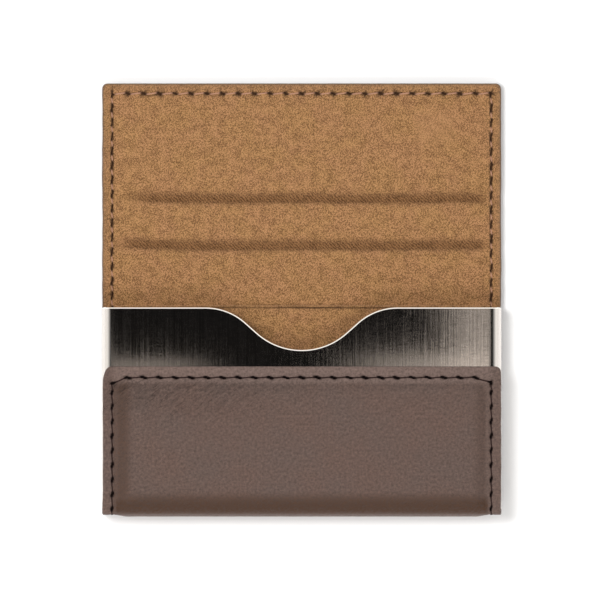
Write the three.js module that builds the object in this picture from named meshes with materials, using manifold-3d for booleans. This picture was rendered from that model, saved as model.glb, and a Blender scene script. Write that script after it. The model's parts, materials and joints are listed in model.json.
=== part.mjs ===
// A business card case. A folded steel tray holds the cards. A stitched leather cover is glued
// round the tray: up its front, under it and up its back. Past the back, the cover runs on into
// a spine and a flap, which fold over the tray's mouth and are held on its steel front by magnets.
//
// The case lies open on its back. +X is across it, +Y runs from the tray to the flap's free edge
// and +Z is up. The origin is under the middle of the open case, on the surface it lies on.
// Lengths are in millimetres.

import * as THREE from "three";
import { mergeVertices } from "three/addons/utils/BufferGeometryUtils.js";
import Module from "manifold-3d";

const wasm = await Module();
wasm.setup();

// ---------------------------------------------------------------- driving dimensions

const WIDTH = 95; // of the cover
const OPEN_LENGTH = 103; // from the bottom of the case to the flap's free edge
const BACK_LENGTH = 64.3; // from the bottom of the case to the rear fold
const SPINE_LENGTH = 11.2; // from the rear fold to the front fold
const FRONT_PANEL_LENGTH = 35.9; // of the front panel, above the bottom of the case
const TRAY_MOUTH = 49.8; // height of the tray's top edge above the bottom of the case
const TRAY_DEPTH = 7.2; // outside the steel

// Sheet thicknesses
const LINING = 0.5;
const BOARD = 0.8;
const THIN_BOARD = 0.4; // the strip of card under the tray
const FOAM = 0.6;
const LEATHER = 1.0;
const STEEL = 0.5;

// Cover details
const CORNER_RADIUS = 1.3; // of the flap's and the front panel's free corners
const FOLD_HALF_WIDTH = 2.0; // bare strip each side of a fold, where no board is
const FOLD_DIP = 0.9; // how far the cover dips into that strip
const SEAM_INSET = 2.4; // from the cover's edge to the stitching
const PAD_INSET = 3.3; // from the cover's edge to the foot of the padded field
const PAD_SLOPE = 1.93; // run over rise of the padded field's edge
const THREAD_WIDTH = 0.5;
const THREAD_DEPTH = 0.3;
const THREAD_ROOM = 0.1; // each side of the thread in its groove
const THREAD_FLOOR_ROOM = 0.05;

// Tray details. It is as wide as the cover.
const TRAY_FRONT_RADIUS = 2.2; // bends along the sides of the front wall
const TRAY_BACK_RADIUS = 1.2;
const NOTCH_DEPTH = 10.1;
const NOTCH_FLANK_ANGLE = THREE.MathUtils.degToRad(41.7);
const NOTCH_SHOULDER_RADIUS = 14.3;
const NOTCH_BOTTOM_RADIUS = 15.9;

// Flap magnets
const MAGNET = { width: 9, length: 7, fromEdge: 10.3, fromMiddle: 31.4, room: 0.15 };

// ---------------------------------------------------------------- places worked out from them

const HALF = WIDTH / 2;
const MARGIN = LINING + LEATHER; // thickness of the stitched edge
const PADDED = LINING + BOARD + FOAM + LEATHER; // thickness of a padded panel
const SPINE_THICKNESS = LINING + BOARD + LEATHER;
const BOTTOM_THICKNESS = LINING + THIN_BOARD + LEATHER;
const LAP = 0.3; // how far two solids that are to be joined run into each other
const QUARTER_TURN = Math.PI / 2;

const BOTTOM_Y = -OPEN_LENGTH / 2;
const REAR_FOLD_Y = BOTTOM_Y + BACK_LENGTH;
const FLAP_LENGTH = OPEN_LENGTH - BACK_LENGTH - SPINE_LENGTH;
const FOLD_Z = PADDED - LINING - FOLD_DIP - LEATHER / 2; // middle of the leather at a fold
const FRONT_PANEL_TOP_Y = BOTTOM_Y + FRONT_PANEL_LENGTH;
const TRAY_BOTTOM_Y = BOTTOM_Y + BOTTOM_THICKNESS;
const TRAY_TOP_Y = BOTTOM_Y + TRAY_MOUTH;
const TRAY_BACK_Z = PADDED;
const TRAY_FRONT_Z = PADDED + TRAY_DEPTH;

// The padded fields of the front and the back end this far beyond the bottom of the case before
// their insets are taken off, which leaves a shallow valley above the bottom edge.
const BOTTOM_PAD_START = -1.0;

// ---------------------------------------------------------------- materials

const materials = {
  leather: new THREE.MeshStandardMaterial({ color: 0x6e5b54, roughness: 0.6, metalness: 0 }),
  suede: new THREE.MeshStandardMaterial({ color: 0xa97d55, roughness: 0.95, metalness: 0 }),
  steel: new THREE.MeshStandardMaterial({ color: 0xb8b4ae, roughness: 0.35, metalness: 1 }),
  board: new THREE.MeshStandardMaterial({ color: 0x8a8378, roughness: 0.9, metalness: 0 }),
  foam: new THREE.MeshStandardMaterial({ color: 0x3a3836, roughness: 1, metalness: 0 }),
  thread: new THREE.MeshStandardMaterial({ color: 0x2a1d1a, roughness: 0.8, metalness: 0 }),
  magnet: new THREE.MeshStandardMaterial({ color: 0xc9c9cb, roughness: 0.25, metalness: 1 }),
};

// ---------------------------------------------------------------- solids

// A closed three.js geometry as a solid that can be cut and joined.
function solid(geometry) {
  const bare = new THREE.BufferGeometry().setAttribute("position", geometry.getAttribute("position"));
  bare.setIndex(geometry.index);
  const merged = mergeVertices(bare, 1e-4);
  return new wasm.Manifold(
    new wasm.Mesh({
      numProp: 3,
      vertProperties: merged.getAttribute("position").array,
      triVerts: new Uint32Array(merged.index.array),
    }),
  );
}

function geometryOf(body) {
  const mesh = body.getMesh();
  const points = new Float32Array(mesh.numVert * 3);
  for (let i = 0; i < mesh.numVert; i++) {
    points.set(mesh.vertProperties.subarray(i * mesh.numProp, i * mesh.numProp + 3), i * 3);
  }
  const geometry = new THREE.BufferGeometry();
  geometry.setAttribute("position", new THREE.BufferAttribute(points, 3));
  geometry.setIndex(new THREE.BufferAttribute(new Uint32Array(mesh.triVerts), 1));
  const flat = geometry.toNonIndexed();
  flat.computeVertexNormals();
  return flat;
}

// A piece of the scene: a named mesh of one solid in one material.
function piece(name, body, material) {
  const mesh = new THREE.Mesh(geometryOf(body), materials[material]);
  mesh.name = name;
  return mesh;
}

// A block whose lower and upper faces may differ, so that its sides can slope. Each face is
// given as { x0, x1, y0, y1 }.
function block(lower, upper, z0, z1) {
  const geometry = new THREE.BoxGeometry(1, 1, 1);
  const position = geometry.getAttribute("position");
  for (let i = 0; i < position.count; i++) {
    const face = position.getZ(i) < 0 ? lower : upper;
    const x = position.getX(i) < 0 ? face.x0 : face.x1;
    const y = position.getY(i) < 0 ? face.y0 : face.y1;
    position.setXYZ(i, x, y, position.getZ(i) < 0 ? z0 : z1);
  }
  return solid(geometry);
}

function box(x0, x1, y0, y1, z0, z1) {
  return block({ x0, x1, y0, y1 }, { x0, x1, y0, y1 }, z0, z1);
}

// An outline in X and Y, extruded from z0 to z1.
function plate(outline, z0, z1) {
  const geometry = new THREE.ExtrudeGeometry(outline, {
    depth: z1 - z0,
    bevelEnabled: false,
    curveSegments: 10,
  });
  return solid(geometry.translate(0, 0, z0));
}

// An outline in Y and Z, extruded along X from x0 to x1.
function across(outline, x0, x1) {
  const axes = [new THREE.Vector3(0, 1, 0), new THREE.Vector3(0, 0, 1), new THREE.Vector3(1, 0, 0)];
  const geometry = new THREE.ExtrudeGeometry(outline, {
    depth: x1 - x0,
    bevelEnabled: false,
    curveSegments: 6,
  });
  geometry.applyMatrix4(new THREE.Matrix4().makeBasis(...axes));
  return solid(geometry.translate(x0, 0, 0));
}

// A rectangle from (x0, y0) to (x1, y1) with one radius at its two lower corners and another at
// its two upper ones.
function roundedRectangle(x0, x1, y0, y1, lowerRadius, upperRadius) {
  const corners = [
    { x: x1, y: y0, inX: -1, inY: 1, radius: lowerRadius, start: -QUARTER_TURN },
    { x: x1, y: y1, inX: -1, inY: -1, radius: upperRadius, start: 0 },
    { x: x0, y: y1, inX: 1, inY: -1, radius: upperRadius, start: QUARTER_TURN },
    { x: x0, y: y0, inX: 1, inY: 1, radius: lowerRadius, start: 2 * QUARTER_TURN },
  ];
  const outline = new THREE.Shape();
  outline.moveTo(x0 + lowerRadius, y0);
  for (const { x, y, inX, inY, radius, start } of corners) {
    if (radius > 0) {
      const centre = [x + inX * radius, y + inY * radius];
      outline.absarc(...centre, radius, start, start + QUARTER_TURN, false);
    } else {
      outline.lineTo(x, y);
    }
  }
  return outline;
}

// ---------------------------------------------------------------- the layers of the cover

// Depth is measured outwards from the lining's face: 0 is the lining, MARGIN the outside of the
// stitched edge and PADDED the outside of a padded field. A panel's solids are made lying in X
// and Y with depth along +Z. These turn them so that depth runs down, up or towards -Y, from
// where the lining's face is to be.
const outsideDown = (z) => new THREE.Matrix4().makeRotationY(Math.PI).setPosition(0, 0, z);
const outsideUp = (z) => new THREE.Matrix4().setPosition(0, 0, z);
const outsideFront = (y) => new THREE.Matrix4().makeRotationX(QUARTER_TURN).setPosition(0, y, 0);

const turned = (body, matrix) => body.transform(matrix.elements);

// How far in from the cover's edge the padded field's sloping side is, at a depth, on the surface
// that lies the given thickness below the leather's outside.
function slopeInset(depth, below) {
  const steepness = Math.hypot(PAD_SLOPE, 1) / PAD_SLOPE;
  return PAD_INSET + PAD_SLOPE * (depth + below * steepness - MARGIN);
}

// A padded field between y0 and y1, from one depth to another. Its long sides slope, and so do
// the ends that slopes names.
function field(y0, y1, slopes, depth0, depth1, below = 0) {
  const faceAt = (depth) => {
    const inset = slopeInset(depth, below);
    return {
      x0: -HALF + inset,
      x1: HALF - inset,
      y0: y0 + (slopes.start ? inset : 0),
      y1: y1 - (slopes.end ? inset : 0),
    };
  };
  return block(faceAt(depth0), faceAt(depth1), depth0, depth1);
}

// The leather over a panel, less its flat margin: the field's outside and its hollow.
function fieldShell(y0, y1, slopes, thickness) {
  return {
    outside: field(y0, y1, slopes, MARGIN - LAP, thickness),
    hollow: field(y0, y1, slopes, LINING - LAP, thickness - LEATHER, LEATHER),
  };
}

// The board in a panel, and the foam between the board and the leather.
function boardBody(y0, y1, slopes, thickness = BOARD) {
  const inset = slopeInset(LINING + thickness, LEATHER) + THREAD_ROOM;
  const ends = [y0 + (slopes.start ? inset : 0), y1 - (slopes.end ? inset : 0)];
  return box(-HALF + inset, HALF - inset, ...ends, LINING, LINING + thickness);
}

function foamBody(y0, y1, slopes) {
  const top = LINING + BOARD;
  return field(y0, y1, slopes, top, top + FOAM, LEATHER + 0.05);
}

// The strip of cover along a fold, which dips between the boards. from and to are how far the
// strip's two faces lie below the leather's outside.
function foldStrip(from, to) {
  const ends = [-FOLD_HALF_WIDTH, FOLD_HALF_WIDTH];
  const edge = box(-HALF, HALF, ...ends, MARGIN - to, MARGIN - from);
  const dip = field(...ends, {}, MARGIN - from - LAP, MARGIN - from + FOLD_DIP, from);
  const hollow = field(...ends, {}, MARGIN - to - LAP, MARGIN - to + FOLD_DIP, to);
  return edge.add(dip).subtract(hollow);
}

// ---------------------------------------------------------------- the cover round the tray

// The layer of the cover between two depths, wrapped from x0 to x1 round the back, the bottom and
// the front of the tray. Its bends are round about the tray's bottom edges.
function wrap(depth0, depth1, x0, x1, frontTop = FRONT_PANEL_TOP_Y) {
  const outline = new THREE.Shape();
  const backEnd = REAR_FOLD_Y - FOLD_HALF_WIDTH;
  outline.moveTo(backEnd, TRAY_BACK_Z - depth0);
  outline.lineTo(backEnd, TRAY_BACK_Z - depth1);
  outline.lineTo(TRAY_BOTTOM_Y, TRAY_BACK_Z - depth1);
  outline.absarc(TRAY_BOTTOM_Y, TRAY_BACK_Z, depth1, 3 * QUARTER_TURN, 2 * QUARTER_TURN, true);
  outline.absarc(TRAY_BOTTOM_Y, TRAY_FRONT_Z, depth1, 2 * QUARTER_TURN, QUARTER_TURN, true);
  outline.lineTo(frontTop, TRAY_FRONT_Z + depth1);
  outline.lineTo(frontTop, TRAY_FRONT_Z + depth0);
  if (depth0 > 0) {
    outline.absarc(TRAY_BOTTOM_Y, TRAY_FRONT_Z, depth0, QUARTER_TURN, 2 * QUARTER_TURN, false);
    outline.absarc(TRAY_BOTTOM_Y, TRAY_BACK_Z, depth0, 2 * QUARTER_TURN, 3 * QUARTER_TURN, false);
  } else {
    outline.lineTo(TRAY_BOTTOM_Y, TRAY_FRONT_Z);
    outline.lineTo(TRAY_BOTTOM_Y, TRAY_BACK_Z);
  }
  return across(outline, x0, x1);
}

// Everything in front of the tray outside the front panel's rounded corners.
function frontCornerWaste() {
  const z = [TRAY_FRONT_Z - LAP, TRAY_FRONT_Z + PADDED];
  const y = [FRONT_PANEL_TOP_Y - 2 * CORNER_RADIUS, FRONT_PANEL_TOP_Y];
  const kept = roundedRectangle(-HALF, HALF, y[0], y[1], 0, CORNER_RADIUS);
  return box(-HALF - LAP, HALF + LAP, y[0] + LAP, y[1] + LAP, ...z).subtract(plate(kept, ...z));
}

// The stitching round the case, at the depths given: up both sides of the back, under the bottom,
// up both sides of the front panel and along its top.
function caseSeam(depth0, depth1, halfWidth) {
  const seamX = HALF - SEAM_INSET;
  const seamY = FRONT_PANEL_TOP_Y - SEAM_INSET;
  const z = [TRAY_FRONT_Z + depth0, TRAY_FRONT_Z + depth1];
  const top = box(-seamX - halfWidth, seamX + halfWidth, seamY - halfWidth, seamY + halfWidth, ...z);
  const left = wrap(depth0, depth1, -seamX - halfWidth, -seamX + halfWidth, seamY);
  const right = wrap(depth0, depth1, seamX - halfWidth, seamX + halfWidth, seamY);
  return top.add(left).add(right);
}

// ---------------------------------------------------------------- threads and their grooves

// A lockstitch has a needle thread on the leather and a bobbin thread on the lining. Each lies in
// a groove. seam(depth0, depth1, halfWidth) is the line of stitching to follow.
const needleThread = (seam) => seam(MARGIN - THREAD_DEPTH, MARGIN, THREAD_WIDTH / 2);
const bobbinThread = (seam) => seam(0, THREAD_DEPTH, THREAD_WIDTH / 2);

const needleGroove = (seam) =>
  seam(MARGIN - THREAD_DEPTH - THREAD_FLOOR_ROOM, MARGIN + LAP, THREAD_WIDTH / 2 + THREAD_ROOM);

// The bobbin groove's floor lies one thread's depth into the lining. mouth is how far the cutter
// reaches out past the lining's face.
const bobbinGroove = (seam, mouth = LAP) =>
  seam(-mouth, THREAD_DEPTH + THREAD_FLOOR_ROOM, THREAD_WIDTH / 2 + THREAD_ROOM);

// ---------------------------------------------------------------- the case: tray and cover

function steelTray() {
  const outline = (inset) =>
    roundedRectangle(
      -HALF + inset,
      HALF - inset,
      TRAY_BACK_Z + inset,
      TRAY_FRONT_Z - inset,
      TRAY_BACK_RADIUS - inset,
      TRAY_FRONT_RADIUS - inset,
    );
  // The section is extruded along its depth below the mouth and then turned.
  const place = outsideFront(TRAY_TOP_Y);
  const height = TRAY_TOP_Y - TRAY_BOTTOM_Y;
  const outside = turned(plate(outline(0), 0, height), place);
  const hollow = turned(plate(outline(STEEL), -LAP, height - STEEL), place);
  const notch = plate(notchOutline(), TRAY_FRONT_Z - 2 * STEEL, TRAY_FRONT_Z + LAP);
  return outside.subtract(hollow).subtract(notch);
}

// The thumb notch in the tray's front wall: a round bottom between straight flanks, with round
// shoulders that run into the top edge.
function notchOutline() {
  const sine = Math.sin(NOTCH_FLANK_ANGLE);
  const cosine = Math.cos(NOTCH_FLANK_ANGLE);
  const radii = NOTCH_SHOULDER_RADIUS + NOTCH_BOTTOM_RADIUS;
  const flank = (NOTCH_DEPTH - radii * (1 - cosine)) / sine;
  const halfWidth = radii * sine + flank * cosine;
  const shoulderY = TRAY_TOP_Y - NOTCH_SHOULDER_RADIUS;
  const bottomY = TRAY_TOP_Y - NOTCH_DEPTH + NOTCH_BOTTOM_RADIUS;
  const up = QUARTER_TURN;
  const turn = NOTCH_FLANK_ANGLE;
  const outline = new THREE.Shape();
  outline.moveTo(-halfWidth, TRAY_TOP_Y);
  outline.absarc(-halfWidth, shoulderY, NOTCH_SHOULDER_RADIUS, up, up - turn, true);
  outline.absarc(0, bottomY, NOTCH_BOTTOM_RADIUS, -up - turn, -up + turn, false);
  outline.absarc(halfWidth, shoulderY, NOTCH_SHOULDER_RADIUS, up + turn, up, true);
  outline.lineTo(halfWidth, TRAY_TOP_Y + LAP);
  outline.lineTo(-halfWidth, TRAY_TOP_Y + LAP);
  return outline;
}

// The suede-covered sheet that the cards slide on, inside the tray's back wall.
function trayLining() {
  const x = HALF - STEEL - TRAY_FRONT_RADIUS;
  const z = TRAY_BACK_Z + STEEL;
  return box(-x, x, TRAY_BOTTOM_Y + STEEL, TRAY_TOP_Y, z, z + LINING);
}

function buildCase() {
  const group = new THREE.Group();
  const back = outsideDown(TRAY_BACK_Z);
  const front = outsideUp(TRAY_FRONT_Z);
  const bottom = outsideFront(TRAY_BOTTOM_Y);
  const padStart = BOTTOM_Y + BOTTOM_PAD_START;
  const backEnds = [padStart, REAR_FOLD_Y - FOLD_HALF_WIDTH, { start: true }];
  const frontEnds = [padStart, FRONT_PANEL_TOP_Y, { start: true, end: true }];
  // The bottom field lies between the two bends, so its ends are heights here.
  const bendRoom = PAD_INSET - LAP;
  const bottomEnds = [TRAY_BACK_Z - bendRoom, TRAY_FRONT_Z + bendRoom, { start: true, end: true }];

  const shells = [
    [fieldShell(...backEnds, PADDED), back],
    [fieldShell(...frontEnds, PADDED), front],
    [fieldShell(...bottomEnds, BOTTOM_THICKNESS), bottom],
  ];
  const waste = frontCornerWaste();
  let leather = wrap(LINING, MARGIN, -HALF, HALF).subtract(waste);
  for (const [shell, place] of shells) leather = leather.add(turned(shell.outside, place));
  for (const [shell, place] of shells) {
    const overLining = turned(shell.hollow, place).subtract(wrap(-LAP, LINING, -HALF, HALF));
    leather = leather.subtract(overLining);
  }
  const lining = wrap(0, LINING, -HALF, HALF).subtract(waste);

  group.add(
    piece("steel_tray", steelTray(), "steel"),
    piece("tray_lining", trayLining(), "suede"),
    piece("cover_leather", leather.subtract(needleGroove(caseSeam)), "leather"),
    piece("cover_lining", lining.subtract(bobbinGroove(caseSeam, 0)), "suede"),
    piece("back_board", turned(boardBody(...backEnds), back), "board"),
    piece("back_foam", turned(foamBody(...backEnds), back), "foam"),
    piece("front_board", turned(boardBody(...frontEnds), front), "board"),
    piece("front_foam", turned(foamBody(...frontEnds), front), "foam"),
    piece("bottom_board", turned(boardBody(...bottomEnds, THIN_BOARD), bottom), "board"),
    piece("cover_needle_thread", needleThread(caseSeam), "thread"),
    piece("cover_bobbin_thread", bobbinThread(caseSeam), "thread"),
  );
  return group;
}

// ---------------------------------------------------------------- the folds, spine and flap

// The strip of leather and lining along a fold, in a frame on the fold's axis.
function buildFold(name) {
  const group = new THREE.Group();
  const place = outsideDown(PADDED - FOLD_Z);
  group.add(
    piece(`${name}_fold_leather`, turned(foldStrip(0, LEATHER), place), "leather"),
    piece(`${name}_fold_lining`, turned(foldStrip(LEATHER, MARGIN), place), "suede"),
  );
  return group;
}

// The spine, in a frame on the rear fold's axis.
function buildSpine() {
  const group = new THREE.Group();
  const place = outsideDown(PADDED - FOLD_Z);
  const y = [FOLD_HALF_WIDTH, SPINE_LENGTH - FOLD_HALF_WIDTH];
  const shell = fieldShell(...y, {}, SPINE_THICKNESS);
  const slab = (depth0, depth1) => box(-HALF, HALF, ...y, depth0, depth1);
  const seamOn = (side) => (depth0, depth1, halfWidth) => {
    const x = side * (HALF - SEAM_INSET);
    return box(x - halfWidth, x + halfWidth, ...y, depth0, depth1);
  };

  const outside = slab(LINING, MARGIN).add(shell.outside);
  let leather = outside.subtract(shell.hollow.subtract(slab(-LAP, LINING)));
  let lining = slab(0, LINING);
  // The spine's solids are made turned over, so -X here is the right-hand side in place.
  for (const [label, side] of [["left", 1], ["right", -1]]) {
    const seam = seamOn(side);
    leather = leather.subtract(needleGroove(seam));
    lining = lining.subtract(bobbinGroove(seam));
    group.add(
      piece(`spine_needle_thread_${label}`, turned(needleThread(seam), place), "thread"),
      piece(`spine_bobbin_thread_${label}`, turned(bobbinThread(seam), place), "thread"),
    );
  }
  group.add(
    piece("spine_leather", turned(leather, place), "leather"),
    piece("spine_lining", turned(lining, place), "suede"),
    piece("spine_board", turned(boardBody(...y, {}), place), "board"),
  );
  return group;
}

// The flap, in a frame on the front fold's axis.
function buildFlap() {
  const group = new THREE.Group();
  const place = outsideDown(PADDED - FOLD_Z);
  const y = [FOLD_HALF_WIDTH, FLAP_LENGTH];
  const ends = [...y, { end: true }];
  const outline = roundedRectangle(-HALF, HALF, ...y, 0, CORNER_RADIUS);
  const shell = fieldShell(...ends, PADDED);
  const seam = (depth0, depth1, halfWidth) => {
    const x = HALF - SEAM_INSET;
    const top = FLAP_LENGTH - SEAM_INSET;
    const run = (x0, x1, y0, y1) => box(x0 - halfWidth, x1 + halfWidth, y0, y1, depth0, depth1);
    return run(-x, x, top - halfWidth, top + halfWidth)
      .add(run(-x, -x, y[0], top))
      .add(run(x, x, y[0], top));
  };

  const outside = plate(outline, LINING, MARGIN).add(shell.outside);
  const hollow = shell.hollow.subtract(plate(outline, -LAP, LINING));
  const magnetAt = (side, room) => {
    const [x, centre] = [side * MAGNET.fromMiddle, FLAP_LENGTH - MAGNET.fromEdge];
    const halfX = MAGNET.width / 2 + room;
    const halfY = MAGNET.length / 2 + room;
    const reach = room > 0 ? LAP : 0;
    const z = [LINING - reach, LINING + BOARD + reach];
    return box(x - halfX, x + halfX, centre - halfY, centre + halfY, ...z);
  };
  let board = boardBody(...ends);
  for (const [label, side] of [["left", 1], ["right", -1]]) {
    board = board.subtract(magnetAt(side, MAGNET.room));
    group.add(piece(`flap_magnet_${label}`, turned(magnetAt(side, 0), place), "magnet"));
  }

  const leather = outside.subtract(hollow).subtract(needleGroove(seam));
  const lining = plate(outline, 0, LINING).subtract(bobbinGroove(seam));
  group.add(
    piece("flap_leather", turned(leather, place), "leather"),
    piece("flap_lining", turned(lining, place), "suede"),
    piece("flap_board", turned(board, place), "board"),
    piece("flap_foam", turned(foamBody(...ends), place), "foam"),
    piece("flap_needle_thread", turned(needleThread(seam), place), "thread"),
    piece("flap_bobbin_thread", turned(bobbinThread(seam), place), "thread"),
  );
  return group;
}

// ---------------------------------------------------------------- assembly

// Each fold carries what is beyond it: the rear fold the spine, and the front fold the flap.
const frontFold = new THREE.Group();
frontFold.position.set(0, SPINE_LENGTH, 0);
frontFold.add(buildFold("front"), buildFlap());

const rearFold = new THREE.Group();
rearFold.position.set(0, REAR_FOLD_Y, FOLD_Z);
rearFold.add(buildFold("rear"), buildSpine(), frontFold);

const cardCase = new THREE.Group();
cardCase.add(buildCase(), rearFold);

export default cardCase;
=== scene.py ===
import json
import math
from typing import NamedTuple

import bmesh
import bpy
import numpy as np
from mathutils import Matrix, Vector


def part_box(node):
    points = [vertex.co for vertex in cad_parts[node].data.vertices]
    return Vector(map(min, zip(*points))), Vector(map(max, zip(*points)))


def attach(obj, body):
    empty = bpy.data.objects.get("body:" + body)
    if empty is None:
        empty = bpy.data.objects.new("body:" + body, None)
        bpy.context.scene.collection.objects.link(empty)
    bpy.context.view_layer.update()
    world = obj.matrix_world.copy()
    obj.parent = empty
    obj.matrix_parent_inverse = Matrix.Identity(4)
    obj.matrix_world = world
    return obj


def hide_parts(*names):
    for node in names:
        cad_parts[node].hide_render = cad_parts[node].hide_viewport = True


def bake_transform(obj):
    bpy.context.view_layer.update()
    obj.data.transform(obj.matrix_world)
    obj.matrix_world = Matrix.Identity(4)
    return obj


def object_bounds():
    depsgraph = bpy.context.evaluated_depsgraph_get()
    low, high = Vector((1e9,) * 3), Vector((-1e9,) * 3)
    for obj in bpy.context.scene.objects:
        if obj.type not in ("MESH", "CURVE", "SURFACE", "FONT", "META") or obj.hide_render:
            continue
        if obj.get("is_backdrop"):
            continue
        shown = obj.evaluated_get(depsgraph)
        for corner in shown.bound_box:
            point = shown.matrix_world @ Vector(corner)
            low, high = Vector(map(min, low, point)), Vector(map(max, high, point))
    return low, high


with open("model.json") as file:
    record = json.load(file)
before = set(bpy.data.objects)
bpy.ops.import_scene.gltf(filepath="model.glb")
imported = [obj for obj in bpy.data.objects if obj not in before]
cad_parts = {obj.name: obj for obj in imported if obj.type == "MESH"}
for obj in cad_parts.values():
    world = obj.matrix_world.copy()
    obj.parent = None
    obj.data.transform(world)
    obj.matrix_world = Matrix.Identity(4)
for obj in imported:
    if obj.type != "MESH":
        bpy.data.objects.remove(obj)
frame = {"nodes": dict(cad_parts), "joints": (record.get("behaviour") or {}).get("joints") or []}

# The looks of a business card case that lies open on its back: a stitched leather cover with a
# suede-like lining, glued round a brushed steel tray. Lengths are in millimetres until a mesh is
# made, apart from those of the floor, the lights and the camera, which are in metres.

CAD_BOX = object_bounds()
MM = 0.001


def span(node):
    """A CAD node's lowest and highest corners, in millimetres."""
    low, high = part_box(node)
    return low / MM, high / MM


# ------------------------------------------------------------------ places, from the frame

COVER_LOW, COVER_HIGH = span("cover_leather")
TRAY_LOW, TRAY_HIGH = span("steel_tray")
HALF = COVER_HIGH.x
FREE_EDGE = span("flap_leather")[1].y
FOLDS = [joint["pos_m"][1] / MM for joint in frame["joints"]]
REAR_FOLD, FRONT_FOLD = FOLDS
SPINE_MIDDLE = sum(FOLDS) / 2
TRAY_DEPTH = TRAY_HIGH.z - TRAY_LOW.z
PADDED = TRAY_LOW.z  # thickness of a padded panel
SPINE_DEPTH = PADDED - span("spine_leather")[0].z
BOTTOM_DEPTH = TRAY_LOW.y - COVER_LOW.y

LINING = 0.5
LEATHER = 1.0
MARGIN = LINING + LEATHER  # thickness of the stitched edge
FOLD_REACH = 2.0  # bare strip each side of a fold
FOLD_SINK = 0.9  # how far the cover sinks into it
FOLD_SINK_AT_SEAM = 0.4
SEAM_INSET = 2.4
SEAM_X = HALF - SEAM_INSET
FRONT_SEAM_EXTRA = 0.25  # the seam at the front panel's top lies this much further in
CORNER = 1.3  # radius of the free corners
CUT_CORNER = 1.3  # how far below the front panel's seam its corner holes lie
FOOT_REACH = 0.84  # how far the padding goes on round the tray's bottom edges
WRINKLE_WAY = math.radians(39)  # the wrinkles' slope, up to the right
WRINKLE_DEPTH = 0.17
WRINKLE_SPACING = 1.7
PRESSED = 0.25  # how much of the nap is pressed smooth over a magnet

# A place on the cover is (x, run, depth). run follows the cover: it is y over the back, the
# spine and the flap, and below the back it goes on round the bottom and up the front panel.
# depth is measured outwards from the lining's face.
BEND = math.pi / 2 * MARGIN  # length of the cover round each bottom edge of the tray
FRONT_START = TRAY_LOW.y - 2 * BEND - TRAY_DEPTH  # run at the foot of the front panel
FRONT_PANEL = 33.8  # from there to the panel's top edge
FRONT_TOP = FRONT_START - FRONT_PANEL
FRONT_SEAM = FRONT_TOP + SEAM_INSET + FRONT_SEAM_EXTRA
FLAP_SEAM = FREE_EDGE - SEAM_INSET

END_PITCH = 3.7  # length of a stitch along the cover's ends
SIDE_PITCH = 3.45
LEATHER_HOLES = (0.80, 0.36), (0.62, 0.38)  # half sizes of the holes at the ends and the sides
LEATHER_HOLE_SLANT = 0.36
LEATHER_HOLE_DEPTH = 0.45
LINING_HOLES = (0.92, 0.60), (1.2, 0.37)
LINING_HOLE_RAGGED = 0.25
LINING_HOLE_DEPTH = 0.3

NOTCH_DEPTH = 10.1
NOTCH_ANGLE = math.radians(41.7)  # slope of its straight flanks
NOTCH_SHOULDER = 14.3  # radius of its shoulders
NOTCH_BOTTOM = 15.9
STEEL = 0.5
FRONT_BEND = 2.6  # radius of the tray's bends
BACK_BEND = 1.2
WALL_RINGS = 14  # rings of points up the tray's outside
GROUND = 0.34  # width of the ground edge
GROUND_BEVEL = 0.42  # how deep it goes, as a part of the steel's thickness
TURN_RADIUS = 0.35  # how the tray's lining turns down over the steel's rear edge
TURN_GAP = 0.06
TURN_DROP = 0.45

# Widths and spacings of the cover's finer grid lines, at its edges and over its seams.
EDGE_STRIP = 0.4
EDGE_STEP = 0.08
MARGIN_STEP = 0.3
SEAM_STRIP = 0.8
SEAM_STEP = 0.13
FOLD_STRIP = 2.6
FOLD_STEP = 0.2


def wrapped(x, run, depth):
    """Points of the row frame for places on the cover."""
    past = TRAY_LOW.y - run
    turn = np.clip(past / BEND, 0, 1) + np.clip((past - BEND - TRAY_DEPTH) / BEND, 0, 1)
    angle = turn * math.pi / 2
    up_front = np.maximum(past - 2 * BEND - TRAY_DEPTH, 0)
    y = TRAY_LOW.y + np.maximum(-past, 0) + up_front - depth * np.sin(angle)
    z = TRAY_LOW.z + np.clip(past - BEND, 0, TRAY_DEPTH) - depth * np.cos(angle)
    return np.stack(np.broadcast_arrays(x, y, z), -1)


# ------------------------------------------------------------------ small helpers


def smooth(value, start, end):
    """0 before start, 1 after end, and a smooth step between them."""
    t = np.clip((value - start) / (end - start), 0, 1)
    return t * t * (3 - 2 * t)


def ripple(x, y, lengths, seed):
    """A gentle wave from -1 to 1 made of a few sines, each a direction and a wavelength."""
    rng = np.random.default_rng(seed)
    total = np.zeros(np.broadcast(x, y).shape)
    for length in lengths:
        angle, phase = rng.uniform(0, 2 * math.pi, 2)
        way = x * math.cos(angle) + y * math.sin(angle)
        total = total + np.sin(2 * math.pi * way / length + phase)
    return total / len(lengths)


def grid_lines(*stretches):
    """Grid lines over stretches of (start, end, spacing) that follow one another."""
    found = [np.array([stretches[0][0]])]
    for start, end, spacing in stretches:
        count = max(1, round((end - start) / spacing))
        found.append(np.linspace(start, end, count + 1)[1:])
    return np.concatenate(found)


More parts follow.
